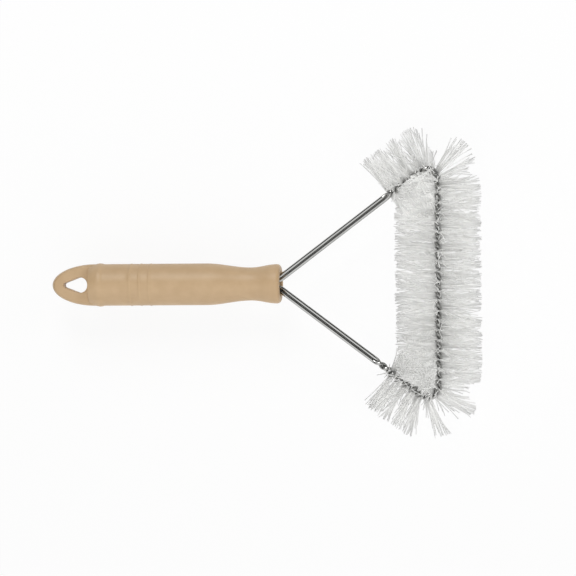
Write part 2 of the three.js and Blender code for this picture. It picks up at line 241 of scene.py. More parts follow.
class Nodes:
    """A node tree, with short calls to add and feed its nodes."""

    NOISE_SPAN: Span = (0.3, 0.7)

    def __init__(self, tree: NodeTree) -> None:
        """Takes the tree that the nodes go into."""
        self.tree = tree

    def feed(self, target: NodeSocket, source: Source) -> None:
        """Feeds an input socket.

        Args:
            target: The input socket.
            source: Output socket to join to it, or the number, vector or linear colour to set it to.
        """
        if isinstance(source, NodeSocket):
            self.tree.links.new(source, target)
        else:
            target.default_value = (*source, 1.0) if target.type == "RGBA" else source

    def fill(self, node: Node, **sources: Source) -> Node:
        """Feeds a node's input sockets.

        Args:
            node: The node.
            sources: What goes into its sockets, which are named with _ for a space.

        Returns:
            The same node.
        """
        for name, source in sources.items():
            self.feed(node.inputs[name.replace("_", " ")], source)
        return node

    def add(self, kind: str, **sources: Source) -> Node:
        """Adds a node of one of Blender's types and fills its input sockets."""
        return self.fill(self.tree.nodes.new(kind), **sources)

    def reckon(self, operation: str, *sources: Source, kind: str = "ShaderNodeMath") -> NodeSocket:
        """Adds a sum.

        Args:
            operation: Blender's name of the operation.
            sources: What goes into it, in order.
            kind: Type of the node.

        Returns:
            Socket with the number that comes out.
        """
        node = self.add(kind)
        node.operation = operation
        for target, source in zip(node.inputs, sources):
            self.feed(target, source)
        return node.outputs["Value"]

    def attribute(self, name: str) -> NodeSocket:
        """Reads a vector that a piece has for each of its points.

        Args:
            name: Name of the attribute.

        Returns:
            Socket with the vector.
        """
        node = self.add("ShaderNodeAttribute")
        node.attribute_name = name
        return node.outputs["Vector"]

    def ramp(self, value: NodeSocket, span: Span, levels: Span, course: str = "LINEAR") -> NodeSocket:
        """Adds a ramp that stays level before and after its span.

        Args:
            value: Socket with the value that it follows.
            span: Values at which it starts and ends.
            levels: Its levels there.
            course: Blender's name of its course between them.

        Returns:
            Socket with the level.
        """
        node = self.add("ShaderNodeMapRange", Value=value, From_Min=span[0], From_Max=span[1])
        node.interpolation_type = course
        return self.fill(node, To_Min=levels[0], To_Max=levels[1]).outputs["Result"]

    def noise(self, place: NodeSocket, scale: float, detail: float) -> NodeSocket:
        """Noise from 0 to 1 with that many features in a unit of the place, and that many finer layers."""
        return self.add("ShaderNodeTexNoise", Vector=place, Scale=scale, Detail=detail).outputs["Fac"]

    def spread(self, noise: NodeSocket, levels: Span = (0.0, 1.0)) -> NodeSocket:
        """Noise spread from its usual middle range over other levels."""
        return self.ramp(noise, self.NOISE_SPAN, levels)

    def bump(self, height: NodeSocket, strength: float, depth: float) -> NodeSocket:
        """Normal of a surface that is raised by a height pattern, to a depth in metres."""
        node = self.add("ShaderNodeBump", Height=height, Strength=strength, Distance=depth)
        return node.outputs["Normal"]

    def blend(self, share: NodeSocket, low: Source, high: Source) -> NodeSocket:
        """Blends two colours.

        Args:
            share: Socket with the share of the second colour.
            low: Linear colour at a share of 0, or a socket with one.
            high: Linear colour at a share of 1, or a socket with one.

        Returns:
            Socket with the blended colour.
        """
        node = self.add("ShaderNodeMix")
        node.data_type = "RGBA"
        self.fill(node, Factor=share)
        for target, source in zip((s for s in node.inputs if s.type == "RGBA"), (low, high)):
            self.feed(target, source)
        return next(s for s in node.outputs if s.type == "RGBA")

    def shown(self) -> NodeSocket:
        """Adds a switch for what only the camera, reflections and glass are to see.

        Returns:
            Socket that is 1 for camera, glossy and transmission rays and 0 for the rest.
        """
        rays = self.add("ShaderNodeLightPath").outputs
        seen = self.reckon("MAXIMUM", rays["Is Camera Ray"], rays["Is Glossy Ray"])
        return self.reckon("MAXIMUM", seen, rays["Is Transmission Ray"])


class Sheet(Nodes):
    """A material's node tree, which starts as a bare principled surface."""

    def __init__(self, name: str) -> None:
        """Starts the material.

        Args:
            name: Name of the material.
        """
        self.material = bpy.data.materials.new(name)
        self.material.use_nodes = True
        super().__init__(self.material.node_tree)
        self.tree.nodes.clear()
        self.surface = self.add("ShaderNodeBsdfPrincipled")
        self.output = self.add("ShaderNodeOutputMaterial", Surface=self.surface.outputs["BSDF"])


@dataclass(frozen=True)
class MouldedPlastic:
    """Satin beige plastic with the faint cloudiness and fine grain of a moulding.

    Attributes:
        name: Name of the material.
        pale: Linear colour of the paler clouds.
        deep: Linear colour of the deeper clouds.
        cloud: Clouds in a metre, and the finer layers of their noise.
        grain: Grains in a metre, and the finer layers of their noise.
        grain_bump: Strength of the grain, and its depth in metres.
        sheen: Least and greatest roughness.
        ior: Index of refraction.
    """

    name: str
    pale: Colour = (0.58, 0.406, 0.234)
    deep: Colour = (0.535, 0.367, 0.206)
    cloud: Span = (160.0, 4.0)
    grain: Span = (2600.0, 2.0)
    grain_bump: Span = (0.35, 0.00004)
    sheen: Span = (0.38, 0.5)
    ior: float = 1.49

    def material(self) -> Material:
        """Builds the material: clouds tint it, and a fine grain breaks up its gloss.

        Returns:
            The material.
        """
        sheet = Sheet(self.name)
        place = sheet.add("ShaderNodeTexCoord").outputs["Object"]
        cloud = sheet.spread(sheet.noise(place, *self.cloud))
        grain = sheet.noise(place, *self.grain)
        sheet.fill(
            sheet.surface,
            Base_Color=sheet.blend(cloud, self.deep, self.pale),
            Roughness=sheet.spread(grain, self.sheen),
            Normal=sheet.bump(grain, *self.grain_bump),
            IOR=self.ior,
        )
        return sheet.material


@dataclass(frozen=True)
class BrightWire:
    """Bright drawn steel wire with fine lengthwise streaks.

    Attributes:
        name: Name of the material.
        bright: Linear colour of the polished streaks.
        dull: Linear colour of the duller streaks.
        around: Streaks in a millimetre round the wire.
        along: Streaks in a millimetre along the wire.
        streak: Scale of the streaks' noise, and its finer layers.
        streak_bump: Strength of the streaks, and their depth in metres.
        sheen: Greatest and least roughness.
    """

    name: str
    bright: Colour = (0.5, 0.5, 0.49)
    dull: Colour = (0.33, 0.33, 0.32)
    around: float = 3.0
    along: float = 0.12
    streak: Span = (1.0, 4.0)
    streak_bump: Span = (0.3, 0.00003)
    sheen: Span = (0.16, 0.06)

    def material(self) -> Material:
        """Builds the material: a noise drawn out along the wire tints, dulls and scores it.

        Returns:
            The material.
        """
        sheet = Sheet(self.name)
        scale = (self.around, self.around, self.along)
        drawn = sheet.add("ShaderNodeMapping", Vector=sheet.attribute(CoreWires.LAY), Scale=scale)
        streak = sheet.noise(drawn.outputs["Vector"], *self.streak)
        sheet.fill(
            sheet.surface,
            Base_Color=sheet.blend(sheet.spread(streak), self.dull, self.bright),
            Roughness=sheet.spread(streak, self.sheen),
            Normal=sheet.bump(streak, *self.streak_bump),
            Metallic=1.0,
        )
        return sheet.material


@dataclass(frozen=True)
class NylonFilament:
    """White nylon filament with a soft gloss, a little different from strand to strand, and with painted
    shade at its root.

    Attributes:
        name: Name of the material.
        root: Linear colour at the root, darkened as painted shade where the strand sits between the wires.
        clear: Linear colour clear of them, past the painted shade.
        root_shade_run: Share of a strand's length over which the painted shade fades to the clear colour.
        odd: Linear colour that the odd strand or lock leans to.
        odd_share: Greatest lean towards that colour.
        sheen: Roughness of the smoothest and of the dullest strand.
        ior: Index of refraction.
    """

    name: str
    root: Colour = (0.75, 0.75, 0.74)
    clear: Colour = (0.97, 0.97, 0.955)
    root_shade_run: float = 0.06
    odd: Colour = (0.64, 0.64, 0.63)
    odd_share: float = 0.8
    sheen: Span = (0.32, 0.5)
    ior: float = 1.53

    def material(self) -> Material:
        """Builds the material: colour along the strand, as painted shade at the root, and by its own
        numbers.

        Returns:
            The material.
        """
        sheet = Sheet(self.name)
        strand = sheet.add("ShaderNodeSeparateXYZ", Vector=sheet.attribute(FilamentHead.STRAND)).outputs
        # Painted shade: each strand is darker at its root, between the wires, and lightens to the clear
        # colour a little way out.
        unshaded_share = sheet.ramp(strand["X"], (0.0, self.root_shade_run), (0.0, 1.0))
        lean = sheet.ramp(strand["Y"], (0.0, 1.0), (0.0, self.odd_share))
        sheet.fill(
            sheet.surface,
            Base_Color=sheet.blend(lean, sheet.blend(unshaded_share, self.root, self.clear), self.odd),
            Roughness=sheet.ramp(strand["Z"], (0.0, 1.0), self.sheen),
            IOR=self.ior,
        )
        return sheet.material


@dataclass
class Handle:
    """Moulded handle: elliptical nose cut to a flat hanging tab, grip, waisted neck and open socket.

    All places are measured from the butt, along the axis. Sizes are in millimetres.

    Attributes:
        butt: Butt of the tab in the model's frame.
        length: Length of the handle.
        grip: Radius of the grip.
        nose: Length of the elliptical nose.
        tab: Thickness of the tab.
        tab_edge: Power that rounds the tab's rim; a higher one is crisper.
        shoulder: Place of the wall where the grip rises from the tab.
        shoulder_drop: How far the wall's top lies under the grip's radius.
        shoulder_foot: Run of the hollow at the wall's foot.
        shoulder_edge: Size of the round at the wall's top.
        bead: Place, length and height of the raised bead.
        rings: Places of the fine rings.
        ring: Length and height of a fine ring.
        neck: Least radius of the neck.
        neck_start: Distance from the end to where the grip starts to narrow.
        neck_middle: Distance from the end to the narrowest place.
        flare: Radius of the flared end.
        end_round: Radius of the rounded outer edge of the end.
        socket: Radius of the socket at the mouth.
        socket_draft: Narrowing of the socket's radius for each millimetre of depth.
        socket_depth: Depth of the socket.
        mouth_round: Radius of the rounded mouth.
        hole_tip: Place of the hole's narrow end.
        hole_length: Length of the teardrop hole.
        hole_width: Width of the hole.
        hole_tip_radius: Radius of its narrow end.
        hole_corner_radius: Radius of its two wide corners.
        hole_edge: Radius of the round along both rims of the hole.
        columns: Points round the axis.
        tab_steps: Points along the nose, the wall's foot, its rounded top and the cone behind it.
        foot_room: How far before the wall the nose's points stop, in runs of the hollow.
        grip_steps: Points along the bead, on to the rings, along them, on to the neck and along the neck.
        round_steps: Points along the rounds of the end and of the mouth.
        socket_steps: Points along the socket.
        hole_steps: Points along a wide corner and along the narrow end of the hole.
        rim_steps: Points along the round of the hole's rim.
        rim_turn: Angle over which that rim turns, in degrees.
        crease: Angle between faces over which an edge stays sharp, in radians.
    """

    butt: float
    length: float
    grip: float
    nose: float = 25.2
    tab: float = 9.0
    tab_edge: float = 14.0
    shoulder: float = 22.0
    shoulder_drop: float = 1.0
    shoulder_foot: float = 0.8
    shoulder_edge: float = 0.5
    bead: tuple[float, float, float] = (25.5, 5.0, 0.45)
    rings: tuple[float, ...] = (45.5, 51.2, 56.9)
    ring: Span = (1.6, 0.2)
    neck: float = 9.5
    neck_start: float = 43.5
    neck_middle: float = 17.2
    flare: float = 11.3
    end_round: float = 2.2
    socket: float = 7.2
    socket_draft: float = math.tan(math.radians(0.5))
    socket_depth: float = 95.8
    mouth_round: float = 1.2
    hole_tip: float = 7.15
    hole_length: float = 13.6
    hole_width: float = 8.8
    hole_tip_radius: float = 1.5
    hole_corner_radius: float = 4.1
    hole_edge: float = 0.9
    columns: int = 216
    tab_steps: tuple[int, int, int, int] = (90, 9, 6, 12)
    foot_room: float = 1.2
    grip_steps: tuple[int, ...] = (17, 8, 53, 12, 56)
    round_steps: int = 9
    socket_steps: int = 14
    hole_steps: tuple[int, int] = (22, 14)
    rim_steps: int = 8
    rim_turn: float = 76.0
    crease: float = math.radians(38.0)

    @property
    def angle(self) -> Array:
        """Angles of the points round the axis, from +Y towards +Z."""
        return np.linspace(0.0, 2.0 * np.pi, self.columns, endpoint=False)

    def nose_radius(self, x: Array) -> Array:
        """Radius of the elliptical nose: grip * sqrt(1 - (1 - x/nose)^2)."""
        return self.grip * np.sqrt(np.clip(1.0 - (1.0 - x / self.nose) ** 2, 0.0, 1.0))

    def tab_radius(self, x: Array) -> Array:
        """Distance from the axis to the tab's skin.

        The round nose of radius R is cut by two flats at half the tab's thickness h. With q = R |sin a| / h
        at an angle a, the skin lies at R (1 + q^p)^(-1/p), which follows whichever is nearer and rounds the
        rim.

        Args:
            x: Places along the axis.

        Returns:
            One row of distances for each place, over the angles.
        """
        around = np.abs(np.sin(self.angle))[None, :]
        round_nose = self.nose_radius(x)[:, None]
        cut = round_nose * around / (self.tab / 2.0)
        return round_nose * (1.0 + cut**self.tab_edge) ** (-1.0 / self.tab_edge)

    def grip_radius(self, x: Array) -> Array:
        """Radius of the turned grip.

        A plain cylinder carries sine humps for the bead and the rings. From neck_start it falls to the neck
        and rises to the flare along two half cosines, and the end's edge is a quarter circle.

        Args:
            x: Places along the axis.

        Returns:
            Radius at each place.
        """
        humps = [self.bead, *((place, *self.ring) for place in self.rings)]
        radius = np.full_like(x, self.grip)
        for place, length, height in humps:
            share = np.clip((x - place) / length, 0.0, 1.0)
            radius += height * np.sin(np.pi * share)
        start, middle, end = self.length - np.array([self.neck_start, self.neck_middle, self.end_round])
        fall = np.clip((x - start) / (middle - start), 0.0, 1.0)
        rise = np.clip((x - middle) / (end - middle), 0.0, 1.0)
        radius -= (self.grip - self.neck) * (1.0 - np.cos(np.pi * fall)) / 2.0
        radius += (self.flare - self.neck) * (1.0 - np.cos(np.pi * rise)) / 2.0
        over = np.clip((x - end) / self.end_round, 0.0, 1.0)
        return radius - self.end_round * (1.0 - np.sqrt(1.0 - over**2))

    def tab_rows(self) -> tuple[Array, Array]:
        """Rows of the nose, the shoulder's wall and its chamfer.

        Past the nose, a row lies at the tab's skin plus a share of the way out to the turned body, where
        the body is further out. The share rises as v^2 while the place nears the wall as (1 - v)^2, which
        hollows the wall's foot. Its top is rounded along a parabola, and a cone leads to the grip.

        Returns:
            Places along the axis, one for each row, and distances from the axis over the angles.
        """
        nose_steps, foot_steps, edge_steps, cone_steps = self.tab_steps
        turn = np.linspace(0.0, np.pi / 2.0, nose_steps)[1:]
        nose = self.nose * (1.0 - np.cos(turn))
        nose = nose[nose < self.shoulder - self.foot_room * self.shoulder_foot]
        wall_top = self.grip - self.shoulder_drop
        slope = math.atan2(self.shoulder_drop, self.nose - self.shoulder)
        edge_run = self.shoulder_edge * math.cos(slope)
        v = np.linspace(0.0, 1.0, foot_steps)
        w = np.linspace(0.0, 1.0, edge_steps)[1:]
        cone = np.linspace(self.shoulder + edge_run, self.nose, cone_steps)[1:]
        foot = self.shoulder - self.shoulder_foot * (1.0 - v) ** 2
        x = np.concatenate([nose, foot, self.shoulder + edge_run * w**2, cone])
        body = np.concatenate(
            [
                np.zeros_like(nose),
                np.full_like(v, wall_top - self.shoulder_edge),
                wall_top - self.shoulder_edge * ((1.0 - w) ** 2 - w**2 * math.sin(slope)),
                wall_top + (cone - self.shoulder) * math.tan(slope),
            ]
        )
        share = np.concatenate([np.zeros_like(nose), v**2, np.ones_like(w), np.ones_like(cone)])
        skin = self.tab_radius(x)
        return x, skin + share[:, None] * np.maximum(body[:, None] - skin, 0.0)

    def turned_rows(self) -> tuple[Array, Array]:
        """Rows of the turned grip, its end, the mouth and the drafted socket.

        Returns:
            Places along the axis and radii, one of each for a row.
        """
        bead_start, bead_length, _ = self.bead
        ring_length, _ = self.ring
        end = self.length - self.end_round
        marks = [bead_start, bead_start + bead_length, self.rings[0], self.rings[-1] + ring_length]
        marks += [self.length - self.neck_start, end]
        bead, gap, rings, plain, neck = map(np.linspace, marks, marks[1:], self.grip_steps)
        turn = np.linspace(0.0, np.pi / 2.0, self.round_steps)
        end_edge = end + self.end_round * np.sin(turn)[1:]
        outside = np.concatenate([bead, gap[1:-1], rings, plain[1:-1], neck, end_edge])
        mouth_start = self.length - self.mouth_round
        mouth = mouth_start + self.mouth_round * np.sin(turn)[::-1]
        bore = self.socket - self.mouth_round * self.socket_draft
        mouth_radius = bore + self.mouth_round * (1.0 - np.cos(turn))[::-1]
        depth = np.linspace(self.mouth_round, self.socket_depth, self.socket_steps)[1:]
        socket_radius = self.socket - depth * self.socket_draft
        x = np.concatenate([outside, mouth, self.length - depth])
        return x, np.concatenate([self.grip_radius(outside), mouth_radius, socket_radius])

    def body(self) -> Object:
        """Skin of the whole handle but the hole: rows round the axis, closed by a point at each end.

        Returns:
            The skin as an object.
        """
        tab_x, tab_distance = self.tab_rows()
        turned_x, turned_radius = self.turned_rows()
        x = np.concatenate([tab_x, turned_x])
        distance = np.concatenate([tab_distance, np.tile(turned_radius[:, None], self.columns)])
        place = np.tile(self.butt + x[:, None], self.columns)
        angle = self.angle[None, :]
        grid = np.stack([place, distance * np.cos(angle), distance * np.sin(angle)], axis=-1)
        ends = np.array([[self.butt, 0.0, 0.0], [self.butt + x[-1], 0.0, 0.0]])
        return make_piece("handle_moulding", *capped(grid, ends))

    def hole_outline(self) -> tuple[Array, Array]:
        """Outline of the teardrop hole.

        Three arcs, about the narrow end and the two wide corners, are joined by straight sides. Their
        normals lean back from the axis by atan(offset / span) + asin((corner - tip) / c), where c is the
        distance of the centres.

        Returns:
            Points of the outline and its outward normals, in the plane of the tab.
        """
        tip, corner = self.hole_tip_radius, self.hole_corner_radius
        tip_x = self.hole_tip + tip
        corner_x = self.hole_tip + self.hole_length - corner
        offset = self.hole_width / 2.0 - corner
        span = corner_x - tip_x
        side = np.pi / 2.0 + math.atan2(offset, span) + math.asin((corner - tip) / math.hypot(span, offset))
        corner_steps, tip_steps = self.hole_steps
        arcs = [
            (corner_x, -offset, corner, np.linspace(-side, 0.0, corner_steps)),
            (corner_x, offset, corner, np.linspace(0.0, side, corner_steps)),
            (tip_x, 0.0, tip, np.linspace(side, 2.0 * np.pi - side, tip_steps)),
        ]
        normals = [np.stack([np.cos(a), np.sin(a)], axis=-1) for *_, a in arcs]
        points = [np.array([x, y]) + radius * n for (x, y, radius, _), n in zip(arcs, normals)]
        return np.concatenate(points), np.concatenate(normals)

    def hole_cutter(self) -> Object:
        """Flared plug that cuts the hole and rounds its rims.

        The outline is carried through the tab and pushed out along its normals by e (1 - cos t) over the
        last stretch e of the depth, where t turns from 0 to rim_turn.

        Returns:
            The plug as an object.
        """
        outline, normals = self.hole_outline()
        turn = np.radians(np.linspace(0.0, self.rim_turn, self.rim_steps))
        depth = self.tab / 2.0 - self.hole_edge * (1.0 - np.sin(turn))
        push = self.hole_edge * (1.0 - np.cos(turn))
        depth = np.append(depth, self.tab)
        push = np.append(push, push[-1])
        z = np.concatenate([-depth[::-1], depth])
        out = np.concatenate([push[::-1], push])
        plan = outline[None] + out[:, None, None] * normals[None] + np.array([self.butt, 0.0])
        grid = np.concatenate([plan, np.tile(z[:, None, None], (1, len(outline), 1))], axis=-1)
        centre = np.array([self.butt + self.hole_tip + self.hole_length / 2.0, 0.0])
        ends = np.array([[*centre, z[0]], [*centre, z[-1]]])
        return make_piece("hole_cutter", *capped(grid, ends))

    def build(self, finish: Material) -> Object:
        """Makes the handle, cuts its hole and dresses it.

        Args:
            finish: Material of the handle.

        Returns:
            The finished piece.
        """
        piece = self.body()
        cutter = self.hole_cutter()
        cut = piece.modifiers.new("hang_hole", "BOOLEAN")
        cut.operation = "DIFFERENCE"
        cut.solver = "EXACT"
        cut.object = cutter
        graph = bpy.context.evaluated_depsgraph_get()
        drilled = bpy.data.meshes.new_from_object(piece.evaluated_get(graph))
        plain = piece.data
        piece.modifiers.clear()
        piece.data = drilled
        bpy.data.meshes.remove(plain)
        bpy.data.meshes.remove(cutter.data)
        drilled.name = piece.name
        drilled.set_sharp_from_angle(angle=self.crease)
        seat(piece, Slot.HANDLE, finish, "handle")
        return piece


@dataclass
class TwistedPair:
    """Centre line of the two core wires, and the twist that clamps the filament strip between them.

    The line is a chain of straight runs and arcs in the XY plane: socket, arm, corner, crossbar, corner,
    arm and socket. The pair rolls about it. Sizes are in millimetres and angles in radians.

    Attributes:
        start_x: Where the wires end in the socket.
        mouth_x: Where they leave the socket.
        bar_x: Where the crossbar lies.
        pair_y: Distance of the pair from the axis in the socket.
        arm_angle: Angle of an arm to the axis.
        bend_radius: Radius of the bend at the mouth.
        bend_inset: How far inside the mouth the bend starts.
        corner_radius: Radius of the two corners.
        bristled_arm: Bristled length of each arm, up to the corner.
        upper_bare_twist: Twist without filaments on the upper arm.
        lower_bare_twist: Twist without filaments on the lower arm.
        pitch: Length of a full turn of the twist along the crossbar.
        upper_corner_rate: Rate of twist round the upper corner, as a share of the crossbar's.
        upper_corner_ease: Length on both sides of the upper corner that has its rate.
        lower_arm_rate: Rate of twist from the lower corner on, as a share of the crossbar's.
        wire_radius: Radius of a wire.
        arm_spread: Distance of a wire from the line in the arms.
        twist_spread: Distance of a wire from the line round the filament strip.
        opening: Length over which the wires part.
    """

    start_x: float
    mouth_x: float
    bar_x: float
    pair_y: float = 2.9
    arm_angle: float = math.radians(37.0)
    bend_radius: float = 6.0
    bend_inset: float = 2.7
    corner_radius: float = 6.5
    bristled_arm: float = 22.0
    upper_bare_twist: float = 4.6
    lower_bare_twist: float = 12.3
    pitch: float = 11.2
    upper_corner_rate: float = 0.79
    upper_corner_ease: float = 7.0
    lower_arm_rate: float = 1.155
    wire_radius: float = 1.05
    arm_spread: float = 1.05
    twist_spread: float = 1.22
    opening: float = 3.0

    def __post_init__(self) -> None:
        """Works out the runs of the line and the stations of the twist."""
        corner_turn = np.pi / 2.0 + self.arm_angle
        tangent = self.corner_radius * math.tan(corner_turn / 2.0)
        bend_x = self.mouth_x - self.bend_inset
        reach = self.bar_x - bend_x - self.bend_radius * math.sin(self.arm_angle)
        arm = reach / math.cos(self.arm_angle) - tangent
        rise = self.bend_radius * (1.0 - math.cos(self.arm_angle)) + reach * math.tan(self.arm_angle)
        self.corner_y = self.pair_y + rise
        socket = bend_x - self.start_x
        bend = self.bend_radius * self.arm_angle
        corner = self.corner_radius * corner_turn
        half = [socket, bend, arm, corner]
        lengths = np.array([*half, 2.0 * (self.corner_y - tangent), *half[::-1]])
        half_turns = [0.0, self.arm_angle, 0.0, -corner_turn]
        turns = np.array([*half_turns, 0.0, *half_turns[::-1]])
        self.turn_rates = turns / lengths
        self.starts = np.cumsum(lengths) - lengths
        self.headings = np.cumsum(turns) - turns
        chords = lengths * np.sinc(turns / (2.0 * np.pi))
        aims = self.headings + turns / 2.0
        steps = np.stack([chords * np.cos(aims), chords * np.sin(aims)], axis=-1)
        self.corners = np.array([self.start_x, self.pair_y]) + np.cumsum(steps, axis=0) - steps
        self.length = float(lengths.sum())
        arm_end = socket + bend + arm
        self.bend_start = socket
        self.upper_corner = arm_end + corner / 2.0
        self.lower_corner = self.length - self.upper_corner
        self.bristle_start = arm_end - self.bristled_arm
        self.bristle_end = self.length - self.bristle_start
        self.twist_start = self.bristle_start - self.upper_bare_twist
        self.twist_end = self.bristle_end + self.lower_bare_twist
        slow_start = arm_end - self.upper_corner_ease
        slow_end = arm_end + corner + self.upper_corner_ease
        self.stations = np.array([0.0, slow_start, slow_end, self.lower_corner, self.length])
        rates = np.array([1.0, self.upper_corner_rate, 1.0, self.lower_arm_rate])
        self.even_stations = np.append(0.0, np.cumsum(rates * np.diff(self.stations)))
        self.even_ends = self.even(np.array([self.twist_start, self.twist_end]))
        self.onset = self.pitch / 2.0
        full = np.ptp(self.even_ends) - self.onset
        self.total_roll = np.pi * round(2.0 * full / self.pitch)
        self.twist_rate = self.total_roll / full

    def even(self, s: Array) -> Array:
        """Lengths along the line as lengths of even twist, in straight steps between the stations."""
        return np.interp(s, self.stations, self.even_stations)

    def roll_gained(self, gone: Array) -> Array:
        """Roll gained over a length g from an end of the twist.

        It is rate g^2 / (2 onset) up to the onset, and rate (g - onset / 2) after it.

        Args:
            gone: Lengths of even twist from that end.

        Returns:
            Roll at each length.
        """
        g = np.maximum(gone, 0.0)
        rising = self.twist_rate * g * g / (2.0 * self.onset)
        return np.where(g < self.onset, rising, self.twist_rate * (g - self.onset / 2.0))

    def roll(self, s: Array) -> Array:
        """Roll of the pair, worked out from the nearer end of the twist.

        Args:
            s: Lengths along the line.

        Returns:
            Roll at each length.
        """
        even = self.even(s)
        from_start = self.roll_gained(even - self.even_ends[0])
        from_end = self.total_roll - self.roll_gained(self.even_ends[1] - even)
        return np.where(even < self.even_ends.mean(), from_start, from_end)

    def spread(self, s: Array) -> Array:
        """Distance of a wire from the line, which opens at the first filaments and closes after the last.

        Args:
            s: Lengths along the line.

        Returns:
            Distance at each length.
        """
        opened = smoothstep(s, self.bristle_start - self.opening, self.bristle_start)
        opened = opened * (1.0 - smoothstep(s, self.bristle_end, self.bristle_end + self.opening))
        return self.arm_spread + (self.twist_spread - self.arm_spread) * opened

    def frame_at(self, s: Array) -> tuple[Array, Array, Array, Array]:
        """Points of the line and the pair's directions there.

        On a run that turns at an even rate, the way from its start has the length g sinc(turn / 2) and aims
        at the mean heading. The roll is taken clockwise along the line, so the twist is left-handed.

        Args:
            s: Lengths along the line.

        Returns:
            Points, and unit vectors along the line, across to the wires and out along the filaments.
        """
        run = np.clip(np.searchsorted(self.starts, s, side="right") - 1, 0, len(self.starts) - 1)
        gone = s - self.starts[run]
        turned = self.turn_rates[run] * gone
        aim = self.headings[run] + turned / 2.0
        chord = gone * np.sinc(turned / (2.0 * np.pi))
        plan = self.corners[run] + chord[:, None] * np.stack([np.cos(aim), np.sin(aim)], axis=-1)
        heading = self.headings[run] + turned
        flat = np.zeros_like(s)
        point = np.concatenate([plan, flat[:, None]], axis=-1)
        along = np.stack([np.cos(heading), np.sin(heading), flat], axis=-1)
        left = np.stack([-np.sin(heading), np.cos(heading), flat], axis=-1)
        up = np.array([0.0, 0.0, 1.0])
        cos = np.cos(self.roll(s))[:, None]
        sin = np.sin(self.roll(s))[:, None]
        return point, along, left * cos - up * sin, left * sin + up * cos


@dataclass
class CoreWires:
    """The two steel wires, each a tube carried along its side of the pair's line.

    Attributes:
        pair: Line and twist of the pair.
        straight_step: Step along the straight runs, in millimetres.
        twist_step: Step along the bends and the twist, in millimetres.
        sides: Points round a wire.
        crease: Angle between faces over which an edge stays sharp, in radians.
    """

    pair: TwistedPair
    straight_step: float = 2.5
    twist_step: float = 0.45
    sides: int = 20
    crease: float = math.radians(50.0)

    LAY = "wire_lay"

    def stations(self) -> Array:
        """Places of the wires' rings, which are close together in the bends and the twist.

        Returns:
            Lengths along the line.
        """
        pair = self.pair
        bend_end = pair.bend_start + pair.bend_radius * pair.arm_angle
        marks = [0.0, pair.bend_start, bend_end, pair.twist_start, pair.twist_end]
        marks += [pair.length - bend_end, pair.length - pair.bend_start, pair.length]
        steps = [self.straight_step, self.twist_step] * 4
        runs = [
            np.linspace(a, b, max(2, math.ceil((b - a) / step)), endpoint=False)
            for a, b, step in zip(marks, marks[1:], steps)
        ]
        return np.append(np.concatenate(runs), pair.length)

    def build(self, side: Side, name: str, node: str, finish: Material) -> Object:
        """Makes one wire: a circle square to the wire's own path, at each station.

        Args:
            side: Side of the line that the wire starts on.
            name: Name of the piece.
            node: Node that it stands for.
            finish: Material of the wire.

        Returns:
            The finished piece.
        """
        s = self.stations()
        point, _, across, _ = self.pair.frame_at(s)
        centre = point + side.value * self.pair.spread(s)[:, None] * across
        tangent = unit(np.gradient(centre, s, axis=0))
        flat = unit(across - np.sum(across * tangent, axis=-1, keepdims=True) * tangent)
        sideways = np.cross(tangent, flat)
        angle = np.linspace(0.0, 2.0 * np.pi, self.sides, endpoint=False)
        circle = np.stack([np.cos(angle), np.sin(angle)], axis=-1)
        ring = circle[None, :, :1] * flat[:, None] + circle[None, :, 1:] * sideways[:, None]
        grid = centre[:, None] + self.pair.wire_radius * ring
        piece = make_piece(name, *capped(grid, centre[[0, -1]]), self.crease)
        turned = np.tile(circle[None], (len(s), 1, 1))
        gone = np.tile(s[:, None, None], (1, self.sides, 1))
        lay = np.concatenate([turned, gone], axis=-1).reshape(-1, 3)
        tag_points(piece, self.LAY, np.concatenate([lay, [[0.0, 0.0, 0.0], [0.0, 0.0, self.pair.length]]]))
        seat(piece, Slot.WIRE, finish, node)
        return piece


